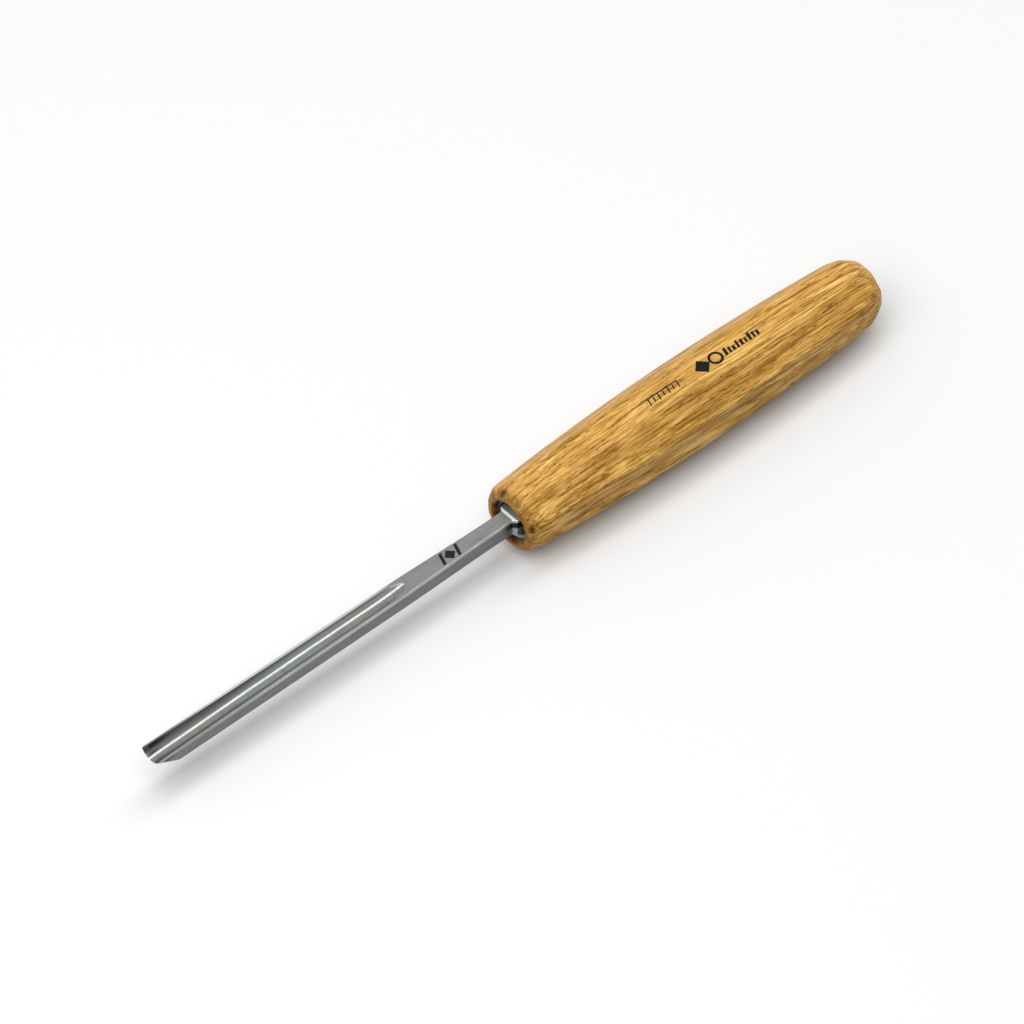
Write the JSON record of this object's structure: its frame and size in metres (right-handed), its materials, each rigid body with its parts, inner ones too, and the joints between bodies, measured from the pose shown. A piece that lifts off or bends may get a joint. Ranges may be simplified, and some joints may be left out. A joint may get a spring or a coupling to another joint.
{
  "type": "v parting tool",
  "caption": "Long-handled wood-carving tool: octagonal barrel handle, hidden steel ferrule, square shank and a narrow blade fluted to its bevelled cutting edge.",
  "frame": {"origin": "centre of the flat at the handle's butt end, on the tool's axis", "axes": "+X along the tool's axis, from the handle's butt towards the cutting edge; +Z the way the blade's flute opens; +Y completes the right-handed frame"},
  "size_m": [0.2403, 0.022, 0.022],
  "materials": {
    "handle_wood": "clear satin lacquer over open-grained ash",
    "blade_steel": "ground and polished",
    "ferrule_steel": "turned"
  },
  "bodies": {
    "root": {"handle": "handle_wood", "ferrule": "ferrule_steel", "blade": "blade_steel"}
  },
  "joints": []
}
